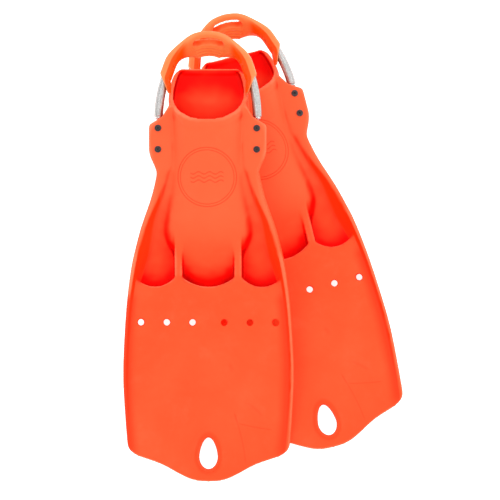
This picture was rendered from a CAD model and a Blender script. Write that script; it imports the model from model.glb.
import math

import bmesh
import bpy
import numpy as np
from mathutils import Euler, Matrix, Vector
from mathutils.bvhtree import BVHTree
from mathutils.kdtree import KDTree


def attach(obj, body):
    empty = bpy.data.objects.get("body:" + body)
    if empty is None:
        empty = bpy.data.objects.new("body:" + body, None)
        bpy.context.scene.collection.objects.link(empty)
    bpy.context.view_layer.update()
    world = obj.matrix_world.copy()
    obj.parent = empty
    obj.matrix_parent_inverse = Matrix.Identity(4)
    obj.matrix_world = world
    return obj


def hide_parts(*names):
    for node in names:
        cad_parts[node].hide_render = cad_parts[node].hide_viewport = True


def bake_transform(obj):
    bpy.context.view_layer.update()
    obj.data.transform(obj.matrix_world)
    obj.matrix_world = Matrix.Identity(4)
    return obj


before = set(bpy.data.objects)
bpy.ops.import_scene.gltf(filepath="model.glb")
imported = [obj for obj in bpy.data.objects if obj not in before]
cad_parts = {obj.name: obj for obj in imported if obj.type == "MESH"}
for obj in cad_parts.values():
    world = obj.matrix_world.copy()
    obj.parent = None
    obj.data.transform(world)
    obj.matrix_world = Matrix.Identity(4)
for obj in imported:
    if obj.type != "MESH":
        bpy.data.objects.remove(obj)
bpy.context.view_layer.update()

scene = bpy.context.scene
MM = 0.001


# ---- Where the fins lie: the same layout as the CAD source, in metres and radians ----

def placed(at, turn):
    turned = Euler([math.radians(t) for t in turn], "XYZ").to_matrix().to_4x4()
    return Matrix.Translation([v * MM for v in at]) @ turned


FINS = {
    "lower": placed((95.69, -272.93, 0.0), (0.0, 0.0, 14.15)),
    "upper": placed((-74.3, -319.11, -1.87), (9.8, -2.2, -0.53)),
}
HINGE = Matrix.Translation((0.0, 493.5 * MM, 48 * MM))
DROOP = {"lower": 5, "upper": 12}
STRAPS = {fin: at @ HINGE @ Matrix.Rotation(-math.radians(DROOP[fin]), 4, "X")
          for fin, at in FINS.items()}
# The springs' curve in the strap's frame: where it starts, its bend, and the coil wound on it
SCREW_X = 66.5 * MM
BEND = 189 * MM
COIL_R = 5.55 * MM
WIRE_R = 0.7 * MM
COIL_GAP = 0.12 * MM
COIL_SIDES, COIL_STEPS = 8, 20
SPRING_FROM, SPRING_TO = math.radians(0.5), math.radians(22.9)
# The anchor's outline from its inner end to its flange: radius and place along the spring, in mm
ANCHOR = ((2.4, -9.6), (3.0, -9.0), (3.0, 0.4), (5.4, 0.6), (5.8, 1.0), (5.8, 2.2), (5.4, 2.6))
# The middle of the bend that the pad's arms follow
PAD_CENTRE_Y = 56.5 * MM


# ---- Node materials ----

class Mat:
    """A material under construction: short calls that add and join nodes.

    A moulding's material works in the piece's own frame, which its mesh carries as the attribute local.
    """

    def __init__(self, name, moulding=False):
        self.m = bpy.data.materials.new(name)
        self.m.use_nodes = True
        self.t = self.m.node_tree
        self.b = self.t.nodes["Principled BSDF"]
        if moulding:
            self.co = self.attribute("local", "Vector")
        else:
            self.co = self.t.nodes.new("ShaderNodeTexCoord").outputs["Object"]

    def node(self, kind, **settings):
        n = self.t.nodes.new(kind)
        for k, v in settings.items():
            setattr(n, k, v)
        return n

    def put(self, socket, value):
        if isinstance(value, bpy.types.NodeSocket):
            self.t.links.new(value, socket)
        else:
            socket.default_value = value

    def math(self, op, a, b=0.0, clamp=False):
        n = self.node("ShaderNodeMath", operation=op, use_clamp=clamp)
        self.put(n.inputs[0], a)
        self.put(n.inputs[1], b)
        return n.outputs[0]

    def add(self, first, *rest):
        for value in rest:
            first = self.math("ADD", first, value)
        return first

    def mul(self, first, *rest):
        for value in rest:
            first = self.math("MULTIPLY", first, value)
        return first

    def sub(self, a, b):
        return self.math("SUBTRACT", a, b)

    def length(self, a, b):
        return self.math("SQRT", self.add(self.mul(a, a), self.mul(b, b)))

    def noise(self, scale, detail=3.0, rough=0.5):
        n = self.node("ShaderNodeTexNoise")
        self.put(n.inputs["Vector"], self.co)
        n.inputs["Scale"].default_value = scale
        n.inputs["Detail"].default_value = detail
        n.inputs["Roughness"].default_value = rough
        return n.outputs["Fac"]

    def band(self, value, low, high, to=(0.0, 1.0)):
        n = self.node("ShaderNodeMapRange", interpolation_type="SMOOTHSTEP")
        self.put(n.inputs["Value"], value)
        for k, v in zip(("From Min", "From Max", "To Min", "To Max"), (low, high, *to)):
            n.inputs[k].default_value = v
        return n.outputs["Result"]

    def mix(self, fac, a, b):
        n = self.node("ShaderNodeMix", data_type="RGBA")
        self.put(n.inputs["Factor"], fac)
        self.put(n.inputs["A"], a)
        self.put(n.inputs["B"], b)
        return n.outputs["Result"]

    def attribute(self, name, part="Fac"):
        return self.node("ShaderNodeAttribute", attribute_name=name).outputs[part]

    def split(self, vector=None):
        n = self.node("ShaderNodeSeparateXYZ")
        self.put(n.inputs[0], vector or self.co)
        return n.outputs

    def bump(self, height, strength, distance, normal=None):
        n = self.node("ShaderNodeBump")
        self.put(n.inputs["Height"], height)
        n.inputs["Strength"].default_value = strength
        n.inputs["Distance"].default_value = distance
        if normal is not None:
            self.put(n.inputs["Normal"], normal)
        return n.outputs["Normal"]

    def finish(self, colour, rough, normal=None, **fixed):
        self.put(self.b.inputs["Base Color"], colour)
        self.put(self.b.inputs["Roughness"], rough)
        if normal is not None:
            self.put(self.b.inputs["Normal"], normal)
        for k, v in fixed.items():
            self.b.inputs[k.replace("_", " ")].default_value = v
        return self.m


def rgb(r, g, b):
    return (r, g, b, 1.0)


def line(m, value, half, soft):
    """1 on the line where value is 0, over a half width in metres, with soft edges."""
    return m.band(m.math("ABSOLUTE", value), half, half + soft, (1.0, 0.0))


# Marks on the moulding, in metres in the fin's frame
RING_Y = 0.413
RING_OUTER, RING_INNER = 0.0395, 0.0362
# The waves' places above and below the ring's centre, radians for each metre, and height
WAVE_ROWS = (-0.0055, 0.0, 0.0055)
WAVE_RATE, WAVE_HEIGHT = 420.0, 0.0016
# The hanging hole's widest line, and how far the step round it reaches to the sides, above and below
EGG_Y, EGG_SIDE, EGG_UP, EGG_DOWN = 0.0347, 0.0175, 0.0313, 0.0227
# The blade's half width where it is widest, that place, and how fast it narrows from there
BLADE_HALF, BLADE_WIDEST, BLADE_TAPER = 0.116, 0.147, 0.55
# Faint creases in the blade: start, end, bow, half width, strength
CREASES = (
    ((0.0355, 0.093), (0.0395, 0.080), 0.0, 0.0009, 0.42),
    ((0.0395, 0.080), (0.0505, 0.028), 0.0012, 0.0008, 0.30),
    ((0.042, 0.0795), (0.085, 0.0715), -0.0008, 0.0006, 0.38),
    ((0.054, 0.107), (0.073, 0.091), 0.0006, 0.0014, 0.20),
    ((0.029, 0.160), (0.033, 0.152), 0.0, 0.0022, 0.24),
)


def crease(m, x, y, start, end, bow, half):
    """1 along a slightly bowed line on the blade, fading out at its ends."""
    length = math.dist(start, end)
    ux, uy = (end[0] - start[0]) / length, (end[1] - start[1]) / length
    dx, dy = m.sub(x, start[0]), m.sub(y, start[1])
    along = m.add(m.mul(dx, ux), m.mul(dy, uy))
    off = m.sub(m.mul(dy, ux), m.mul(dx, uy))
    share = m.math("DIVIDE", along, length, clamp=True)
    arc = m.mul(share, m.sub(1.0, share), 4 * bow)
    there = line(m, m.sub(off, arc), half * 0.3, half * 1.7)
    begins = m.band(along, -0.004, 0.003)
    ends = m.band(along, length - 0.004, length + 0.005, (1, 0))
    return m.mul(there, m.mul(begins, ends))


def depth(m, x, y, z, across, facing):
    """How deep a red the rubber takes, and the parts of that which other layers need."""
    # Hollows hold a deeper red, their steep walls most of all
    steep = m.band(facing[2], 0.62, 0.92, (1.0, 0.0))
    shut = m.attribute("hollow")
    deep = m.mul(shut, m.add(steep, 1.0))
    # It deepens on the way down into the middle vent, and along the channels beside the pocket
    middle = m.mul(m.band(across, 0.032, 0.036, (0.10, 0.0)), m.band(y, 0.262, 0.275))
    deep = m.add(deep, m.mul(middle, m.band(y, 0.315, 0.352, (1.0, 0.0))))
    channel = m.mul(m.band(across, 0.046, 0.052, (0.0, 0.07)), m.band(shut, 0.05, 0.15),
                    m.band(y, 0.295, 0.325))
    deep = m.add(deep, m.mul(channel, m.band(y, 0.35, 0.40, (1.0, 0.0))))
    # So does the foot bed near the heel
    bed = m.mul(m.band(z, 0.014, 0.016, (1.0, 0.0)), m.band(z, 0.0072, 0.0082),
                m.band(y, 0.5588, 0.5600, (1.0, 0.0)), m.band(y, 0.515, 0.546))
    deep = m.add(deep, m.mul(bed, 0.38))
    # The shallow corners between the lugs and the pocket hardly deepen
    corner = m.mul(m.band(y, 0.40, 0.43, (0.0, 0.7)), m.band(y, 0.485, 0.50, (1.0, 0.0)))
    plain = m.sub(1.0, m.mul(corner, m.band(z, 0.044, 0.05)))
    deep = m.mul(deep, plain)
    # The rails' inner walls stay nearer orange
    inward = m.mul(facing[0], m.math("SIGN", x), -1.0)
    wall = m.mul(m.band(inward, 0.25, 0.7), m.band(across, 0.058, 0.066), m.band(shut, 0.04, 0.12))
    deep = m.mul(deep, m.sub(1.0, m.mul(wall, 0.75)))
    return deep, wall, plain, bed


def engraving(m, x, y, z):
    """1 on the engraved double ring on the instep, and on the three plain waves in it."""
    dy = m.sub(y, RING_Y)
    radius = m.length(x, dy)
    ring = m.math("ADD", line(m, m.sub(radius, RING_OUTER), 0.0004, 0.0006),
                  line(m, m.sub(radius, RING_INNER), 0.0003, 0.0005), clamp=True)
    wave = m.mul(m.math("SINE", m.mul(x, WAVE_RATE)), WAVE_HEIGHT)
    waves = 0.0
    for off in WAVE_ROWS:
        waves = m.math("ADD", line(m, m.sub(m.sub(dy, off), wave), 0.0004, 0.0006), waves, clamp=True)
    inside = m.band(m.math("ABSOLUTE", x), 0.022, 0.0226, (1.0, 0.0))
    mark = m.math("ADD", ring, m.mul(waves, inside), clamp=True)
    return m.mul(mark, m.band(z, 0.045, 0.05))


def fin_rubber():
    """The mouldings' orange; part of its colour stands for light: deeper in hollows, paler on crests."""
    m = Mat("fin_rubber", True)
    x, y, z = m.split()
    across = m.math("ABSOLUTE", x)
    curve = m.attribute("curve")
    ridge = m.attribute("ridge")
    facing = m.split(m.attribute("facing", "Vector"))
    patch = m.noise(9, 4, 0.6)
    fine = m.noise(70, 5, 0.65)
    bloom = m.noise(28, 6, 0.7)
    base = m.mix(m.band(patch, 0.35, 0.68), rgb(0.93, 0.080, 0.022), rgb(0.95, 0.096, 0.029))
    base = m.mix(m.mul(m.band(bloom, 0.5, 0.75), 0.3), base, rgb(0.96, 0.13, 0.050))
    base = m.mix(m.mul(m.band(fine, 0.45, 0.7), 0.14), base, rgb(0.88, 0.062, 0.014))
    # The rubber is a little paler over the instep and on the lugs
    base = m.mix(m.mul(m.band(y, 0.29, 0.37), 0.55), base, rgb(0.96, 0.135, 0.050))
    deep, wall, plain, bed = depth(m, x, y, z, across, facing)
    base = m.mix(wall, base, rgb(0.97, 0.036, 0.0025))
    base = m.mix(m.band(deep, 0.04, 0.34), base, rgb(0.97, 0.040, 0.011))
    base = m.mix(m.band(deep, 0.26, 0.50), base, rgb(0.94, 0.0022, 0.0006))
    base = m.mix(m.band(deep, 0.52, 0.80), base, rgb(0.56, 0.0012, 0.0012))
    base = m.mix(m.mul(m.band(curve, 0.44, 0.12, (0.0, 0.5)), plain), base, rgb(0.90, 0.012, 0.002))
    # Crests and convex edges are paler, more so on the left, as light from that side makes them
    open_edge = m.sub(1.0, m.mul(bed, 0.9))
    crest = m.mul(m.band(ridge, 0.60, 0.70), open_edge, m.band(x, -0.03, 0.03, (0.95, 0.5)))
    base = m.mix(crest, base, rgb(0.96, 0.19, 0.088))
    base = m.mix(m.mul(m.band(curve, 0.60, 0.95, (0.0, 0.36)), open_edge), base, rgb(0.97, 0.27, 0.15))
    # Along the rails the blade turns up, and its colour deepens, more so on the right
    bulge = m.math("POWER", m.sub(y, BLADE_WIDEST), 2.0)
    inset = m.sub(m.sub(BLADE_HALF, m.mul(bulge, BLADE_TAPER)), across)
    inset = m.add(inset, m.band(x, -0.001, 0.001, (0.005, 0.0)))
    turned = m.mul(m.band(inset, 0.0045, 0.0065), m.band(inset, 0.008, 0.024, (0.9, 0.0)),
                   m.band(y, 0.245, 0.262, (1.0, 0.0)), m.band(y, 0.02, 0.05))
    base = m.mix(turned, base, rgb(0.95, 0.043, 0.010))
    creased = 0.0
    for start, end, bow, half, strength in CREASES:
        creased = m.math("MAXIMUM", m.mul(crease(m, x, y, start, end, bow, half), strength), creased)
    base = m.mix(creased, base, rgb(0.90, 0.045, 0.012))
    # The rubber is deeper in colour on the step round the hanging hole
    above = m.sub(y, EGG_Y)
    tall = m.add(m.mul(m.math("GREATER_THAN", above, 0.0), EGG_UP - EGG_DOWN), EGG_DOWN)
    egg = m.length(m.math("DIVIDE", x, EGG_SIDE), m.math("DIVIDE", above, tall))
    base = m.mix(m.band(egg, 0.94, 1.16, (0.6, 0.0)), base, rgb(0.93, 0.052, 0.011))
    mark = engraving(m, x, y, z)
    base = m.mix(m.mul(mark, 0.5), base, rgb(0.62, 0.03, 0.008))
    normal = m.bump(m.noise(40, 3, 0.5), 0.25, 0.0012)
    normal = m.bump(m.noise(1500, 2, 0.5), 0.22, 0.0002, normal)
    normal = m.bump(m.mul(mark, -1.0), 0.7, 0.0006, normal)
    normal = m.bump(m.mul(creased, -1.0), 0.5, 0.0005, normal)
    rough = m.add(m.mul(fine, 0.16), m.mul(patch, 0.10), 0.34)
    # A faint glow of its own, set by eye for how bright the orange looks
    m.put(m.b.inputs["Emission Color"], base)
    return m.finish(base, rough, normal, IOR=1.45, Specular_IOR_Level=0.07, Emission_Strength=0.12)


def pad_rubber():
    m = Mat("pad_rubber", True)
    curve = m.attribute("curve")
    ridge = m.attribute("ridge")
    hollow = m.attribute("hollow")
    patch = m.noise(22, 4, 0.6)
    fine = m.noise(160, 5, 0.65)
    base = m.mix(m.band(patch, 0.35, 0.7), rgb(0.95, 0.225, 0.058), rgb(0.97, 0.26, 0.075))
    base = m.mix(m.mul(m.band(fine, 0.45, 0.7), 0.2), base, rgb(0.93, 0.18, 0.035))
    base = m.mix(m.band(hollow, 0.05, 0.36), base, rgb(0.97, 0.060, 0.003))
    base = m.mix(m.mul(m.band(curve, 0.44, 0.12), 0.45), base, rgb(0.9, 0.05, 0.004))
    base = m.mix(m.mul(m.band(ridge, 0.56, 0.72), 0.45), base, rgb(0.97, 0.33, 0.13))
    base = m.mix(m.attribute("inner"), base, rgb(0.98, 0.088, 0.0012))
    normal = m.bump(m.noise(60, 3, 0.5), 0.2, 0.0008)
    normal = m.bump(m.noise(1900, 2, 0.5), 0.18, 0.00015, normal)
    rough = m.add(m.mul(fine, 0.16), 0.27)
    return m.finish(base, rough, normal, IOR=1.45, Specular_IOR_Level=0.2)


def steel(name, light, dark, rough, scale, streak, flank=0.0):
    """Bright steel; flank is how far its sides are dulled by salt and handling."""
    m = Mat(name)
    patch = m.noise(scale, 4, 0.6)
    fine = m.noise(scale * 14, 4, 0.7)
    base = m.mix(m.band(patch, 0.3, 0.7), light, dark)
    base = m.mix(m.mul(m.band(fine, 0.5, 0.75), 0.3), base, dark)
    upward = m.split(m.node("ShaderNodeTexCoord").outputs["Normal"])[2]
    base = m.mix(m.band(upward, 0.25, 0.8, (flank, 0.0)), base, rgb(0.17, 0.15, 0.14))
    normal = m.bump(fine, streak, 0.00008)
    r = m.add(m.mul(fine, 0.18), rough)
    return m.finish(base, r, normal, Metallic=1.0)


def black_oxide():
    m = Mat("dark_steel")
    patch = m.noise(400, 4, 0.6)
    fine = m.noise(3000, 4, 0.7)
    worn = m.node("ShaderNodeNewGeometry").outputs["Pointiness"]
    base = m.mix(m.band(patch, 0.35, 0.7), rgb(0.018, 0.011, 0.012), rgb(0.04, 0.026, 0.028))
    base = m.mix(m.mul(m.band(worn, 0.52, 0.6), 0.5), base, rgb(0.16, 0.13, 0.13))
    normal = m.bump(fine, 0.25, 0.00008)
    r = m.add(m.mul(patch, 0.25), 0.35)
    return m.finish(base, r, normal, Metallic=0.3)


FIN = fin_rubber()
PAD = pad_rubber()
SPRING = steel("spring_steel", rgb(0.88, 0.87, 0.86), rgb(0.70, 0.69, 0.67), 0.2, 300, 0.15, 0.75)
STAINLESS = steel("stainless", rgb(0.78, 0.77, 0.75), rgb(0.58, 0.57, 0.55), 0.24, 160, 0.3)
DARK = black_oxide()


# ---- Meshes ----

def arrays(mesh):
    co = np.empty(len(mesh.vertices) * 3)
    mesh.vertices.foreach_get("co", co)
    edges = np.empty(len(mesh.edges) * 2, np.int64)
    mesh.edges.foreach_get("vertices", edges)
    normal = np.empty(len(mesh.vertices) * 3)
    mesh.vertices.foreach_get("normal", normal)
    return co.reshape(-1, 3), edges.reshape(-1, 2), normal.reshape(-1, 3)


def around(value, edges):
    """The sum of the values at each vertex's neighbours."""
    return (np.bincount(edges[:, 0], value[edges[:, 1]], len(value))
            + np.bincount(edges[:, 1], value[edges[:, 0]], len(value)))


def laplacian(co, edges, count):
    """The way from each vertex to the middle of its neighbours."""
    out = np.empty_like(co)
    for k in range(3):
        out[:, k] = around(co[:, k], edges) / count - co[:, k]
    return out


def smooth(co, edges, rounds, weight):
    count = np.bincount(edges.ravel(), minlength=len(co))
    w = weight[:, None]
    for _ in range(rounds):
        co = co + 0.6 * w * laplacian(co, edges, count)
    return co


def ramp(v, a, b):
    t = np.clip((v - a) / (b - a), 0, 1)
    return t * t * (3 - 2 * t)


def spread(value, edges, rounds):
    """Values at the vertices, evened out over their neighbours."""
    count = np.bincount(edges.ravel(), minlength=len(value))
    for _ in range(rounds):
        value = 0.5 * value + 0.5 * around(value, edges) / count
    return value


def enclosure(mesh, reach, picks, rays):
    """How far each vertex is shut in by the rest of the moulding: 0 in the open, 1 deep inside."""
    co, edges, normal = arrays(mesh)
    faces = [tuple(p.vertices) for p in mesh.polygons]
    tree = BVHTree.FromPolygons(co.tolist(), faces)
    rng = np.random.default_rng(5)
    chosen = rng.permutation(len(co))[:picks]
    k = np.arange(rays) + 0.5
    up = np.sqrt(1 - k / rays)
    turn = k * math.pi * (3 - math.sqrt(5))
    cosine = np.c_[np.cos(turn) * np.sqrt(1 - up * up), np.sin(turn) * np.sqrt(1 - up * up), up]
    near = KDTree(len(chosen))
    shut = np.zeros(len(chosen))
    for i, v in enumerate(chosen):
        n = normal[v] / max(1e-9, np.linalg.norm(normal[v]))
        a = np.cross(n, (1.0, 0, 0) if abs(n[0]) < 0.7 else (0, 1.0, 0))
        a /= np.linalg.norm(a)
        b = np.cross(n, a)
        s = rng.uniform(0, 2 * math.pi)
        axes = np.array([a * math.cos(s) + b * math.sin(s), b * math.cos(s) - a * math.sin(s), n])
        start = Vector(co[v] + n * 0.0004)
        for d in (cosine @ axes).tolist():
            far = tree.ray_cast(start, Vector(d), reach)[3]
            if far is not None:
                shut[i] += 1 - 0.5 * far / reach
        near.insert(co[v].tolist(), i)
    near.balance()
    shut /= rays
    out = np.empty(len(co))
    for v, p in enumerate(co.tolist()):
        total = weight = 0.0
        for _, i, far in near.find_n(p, 12):
            w = max(0.002, float(normal[v] @ normal[chosen[i]])) ** 2 / (far + 0.0005)
            total += w * shut[i]
            weight += w
        out[v] = total / weight
    return spread(out, edges, 6)


def moulded(name, nodes, to_local, voxel, weigh, rounds, material, reach, picks):
    """The shape of a CAD node, or of several as one, with every edge rounded, in its own frame.

    It carries what its material needs: how far each vertex bends (curve), stands out (ridge) and is
    shut in (hollow), and its place and direction in the piece's own frame (local, facing).
    """
    both = bmesh.new()
    for node in nodes:
        both.from_mesh(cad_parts[node].data)
    source = bpy.data.meshes.new("source")
    both.to_mesh(source)
    both.free()
    source.transform(to_local)
    temp = bpy.data.objects.new("temp", source)
    scene.collection.objects.link(temp)
    weld = temp.modifiers.new("weld", "WELD")
    weld.merge_threshold = 1e-6
    remesh = temp.modifiers.new("remesh", "REMESH")
    remesh.mode = "VOXEL"
    remesh.voxel_size = voxel
    remesh.adaptivity = 0.0
    bpy.context.view_layer.update()
    mesh = bpy.data.meshes.new_from_object(temp.evaluated_get(bpy.context.evaluated_depsgraph_get()))
    bpy.data.objects.remove(temp)
    mesh.name = name
    co, edges, _ = arrays(mesh)
    co = smooth(co, edges, rounds, weigh(co))
    mesh.vertices.foreach_set("co", co.ravel())
    mesh.update()
    co, edges, normal = arrays(mesh)
    count = np.bincount(edges.ravel(), minlength=len(co))
    bend = -(laplacian(co, edges, count) * normal).sum(1) / voxel
    # How far the shape stands out of its surroundings, over about 7 mm
    even = smooth(co, edges, int(180 * (MM / voxel) ** 2), np.ones(len(co)))
    stand = ((co - even) * normal).sum(1) / (8 * MM)
    for label, value in (("curve", 0.5 + 3.0 * spread(bend, edges, 6)),
                         ("ridge", 0.5 + 0.5 * spread(stand, edges, 3)),
                         ("hollow", enclosure(mesh, reach, picks, 24))):
        layer = mesh.attributes.new(label, "FLOAT", "POINT")
        layer.data.foreach_set("value", np.clip(value, 0, 1).astype(np.float32))
    for label, value in (("local", co), ("facing", normal)):
        layer = mesh.attributes.new(label, "FLOAT_VECTOR", "POINT")
        layer.data.foreach_set("vector", value.ravel().astype(np.float32))
    mesh.materials.clear()
    mesh.materials.append(material)
    mesh.polygons.foreach_set("use_smooth", [True] * len(mesh.polygons))
    return mesh


def fin_weight(co):
    """How far each part of the moulding is rounded: most where the pocket meets the ribs and channels."""
    x, y, z = np.abs(co[:, 0]) / MM, co[:, 1] / MM, co[:, 2] / MM
    pocket = ramp(y, 300, 322) * (1 - ramp(y, 430, 450)) * ramp(z, 12, 20)
    divider = ramp(x, 27, 31) * (1 - ramp(x, 48, 54)) * (1 - ramp(y, 335, 352))
    return 0.12 + 0.88 * pocket * (1 - 0.9 * divider)


def show(name, mesh, world, body, nodes):
    """A piece laid in the row's frame, its mesh moved there from its own frame."""
    mesh = mesh.copy()
    mesh.name = name
    mesh.transform(world)
    o = bpy.data.objects.new(name, mesh)
    scene.collection.objects.link(o)
    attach(o, body)
    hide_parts(*nodes)


def on_spring(a):
    """The point of the spring's curve at angle a in the strap's frame, and the ways out, along and up."""
    out = Vector((math.cos(a), math.sin(a), 0))
    along = Vector((-math.sin(a), math.cos(a), 0))
    return Vector((SCREW_X - BEND, 0, 0)) + out * BEND, out, along, Vector((0, 0, 1))


def spring_mesh(name, side):
    """A close-wound coil along the spring's curve, in the strap's frame."""
    length = BEND * (SPRING_TO - SPRING_FROM)
    turns = length / (2 * WIRE_R + COIL_GAP)
    steps = int(turns * COIL_STEPS)
    sides = COIL_SIDES
    verts = []
    faces = []
    for i in range(steps + 1):
        u = i / steps
        t = 2 * math.pi * turns * u
        at, out, along, up = on_spring(SPRING_FROM + (SPRING_TO - SPRING_FROM) * u)
        ray = out * math.cos(t) + up * math.sin(t)
        p = at + ray * COIL_R
        for k in range(sides):
            b = 2 * math.pi * k / sides
            q = p + ray * (WIRE_R * math.cos(b)) + along * (WIRE_R * math.sin(b))
            verts.append((side * q.x, q.y, q.z))
    for i in range(steps):
        for k in range(sides):
            a, b = i * sides + k, i * sides + (k + 1) % sides
            f = [a, b, b + sides, a + sides]
            faces.append(f if side > 0 else f[::-1])
    caps = [list(range(sides))[::-1], [steps * sides + k for k in range(sides)]]
    faces += caps if side > 0 else [c[::-1] for c in caps]
    mesh = bpy.data.meshes.new(name)
    mesh.from_pydata(verts, [], faces)
    mesh.polygons.foreach_set("use_smooth", [True] * len(mesh.polygons))
    mesh.materials.append(SPRING)
    mesh.update()
    return mesh


def anchor_mesh(name, side):
    """The flanged plug that holds a spring's upper end in the pad, in the strap's frame."""
    at, out, along, up = on_spring(SPRING_TO)
    sides = 32
    verts = []
    for radius, far in ANCHOR:
        for k in range(sides):
            b = 2 * math.pi * k / sides
            q = at + (out * math.cos(b) + up * math.sin(b)) * radius * MM + along * far * MM
            verts.append((side * q.x, q.y, q.z))
    faces = []
    for i in range(len(ANCHOR) - 1):
        for k in range(sides):
            a, b = i * sides + k, i * sides + (k + 1) % sides
            faces.append([a, a + sides, b + sides, b])
    last = (len(ANCHOR) - 1) * sides
    faces += [list(range(sides)), [last + k for k in range(sides)][::-1]]
    if side < 0:
        faces = [f[::-1] for f in faces]
    mesh = bpy.data.meshes.new(name)
    mesh.from_pydata(verts, [], faces)
    mesh.materials.append(STAINLESS)
    mesh.update()
    return mesh


VOXEL = 1.5 * MM
body = moulded("fin_moulding", ["lower_fin_body"], FINS["lower"].inverted(), VOXEL, fin_weight,
               34, FIN, 0.09, 24000)
# The pad is moulded round the anchors' flanges
pad = moulded("pad_moulding", ["lower_heel_pad", "lower_left_pad_anchor", "lower_right_pad_anchor"],
              STRAPS["lower"].inverted(), 0.8 * MM,
              lambda co: np.full(len(co), 0.45), 5, PAD, 0.12, 8000)
# How far each part of the pad's arms faces inwards
co, _, normal = arrays(pad)
inward = np.c_[-co[:, 0], PAD_CENTRE_Y - co[:, 1]]
inward /= np.linalg.norm(inward, axis=1)[:, None] + 1e-9
inner = ramp((inward * normal[:, :2]).sum(1), 0.25, 0.7) * ramp(np.abs(co[:, 0]), 0.026, 0.036)
pad.attributes.new("inner", "FLOAT", "POINT").data.foreach_set("value", inner.astype(np.float32))
for fin, at in FINS.items():
    show(fin + "_moulding", body, at, fin + "_fin", [fin + "_fin_body"])
    strap = STRAPS[fin]
    show(fin + "_pad_moulding", pad, strap, fin + "_pad", [fin + "_heel_pad"])
    for hand, side in (("left", -1), ("right", 1)):
        wound = spring_mesh(f"{fin}_{hand}_coil", side)
        wound.transform(strap)
        coil = bpy.data.objects.new(f"{fin}_{hand}_coil", wound)
        scene.collection.objects.link(coil)
        # The coils stretch between these two points, from the lugs towards the pad
        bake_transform(coil)
        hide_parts(f"{fin}_{hand}_spring")
        name = f"{fin}_{hand}_pad_anchor"
        show(name + "_plug", anchor_mesh(name + "_plug", side), strap, fin + "_pad", [name])

for name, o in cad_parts.items():
    if o.hide_render:
        continue
    finish = DARK if "screws" in name or "nuts" in name else STAINLESS
    o.data.materials.clear()
    o.data.materials.append(finish)


# ---- Floor, light and camera ----

def floor():
    m = Mat("floor")
    patch = m.noise(1.2, 3, 0.5)
    base = m.mix(patch, rgb(0.86, 0.86, 0.86), rgb(0.90, 0.90, 0.90))
    m.finish(base, 0.8, m.bump(m.noise(900, 2, 0.5), 0.05, 0.0002), Emission_Color=(1, 1, 1, 1),
             Emission_Strength=0.85)
    mesh = bpy.data.meshes.new("floor")
    grid = bmesh.new()
    bmesh.ops.create_grid(grid, x_segments=8, y_segments=8, size=9)
    grid.to_mesh(mesh)
    grid.free()
    mesh.materials.append(m.m)
    o = bpy.data.objects.new("floor", mesh)
    o.location.z = -0.0006
    scene.collection.objects.link(o)


def area(name, at, size, power):
    light = bpy.data.lights.new(name, "AREA")
    light.shape = "DISK"
    light.size = size
    light.energy = power
    o = bpy.data.objects.new(name, light)
    o.location = at
    o.rotation_euler = (-Vector(at)).to_track_quat("-Z", "Y").to_euler()
    scene.collection.objects.link(o)


floor()
area("key", (-1.1, -0.5, 2.5), 1.6, 14)
area("fill", (1.6, 0.1, 1.9), 1.8, 12)
area("back", (0.2, 2.0, 1.6), 1.4, 7)
world = bpy.data.worlds.new("studio")
world.use_nodes = True
world.node_tree.nodes["Background"].inputs["Color"].default_value = (1, 1, 1, 1)
world.node_tree.nodes["Background"].inputs["Strength"].default_value = 0.85
scene.world = world
scene.view_settings.view_transform = "Standard"
scene.view_settings.look = "None"

# How far the camera leans from straight down, its distance, the width it sees there and what it aims at
TILT = math.radians(10.0)
RANGE = 5.13
WIDE = 0.6793
AIM = Vector((-0.01805, -0.00992, 0.06))
camera = bpy.data.cameras.new("camera")
camera.lens = 36 / 2 / (WIDE / 2 / RANGE)
camera.clip_end = 50
eye = bpy.data.objects.new("camera", camera)
eye.location = AIM + Vector((0, -math.sin(TILT), math.cos(TILT))) * RANGE
eye.rotation_euler = (TILT, 0, 0)
scene.collection.objects.link(eye)
scene.camera = eye
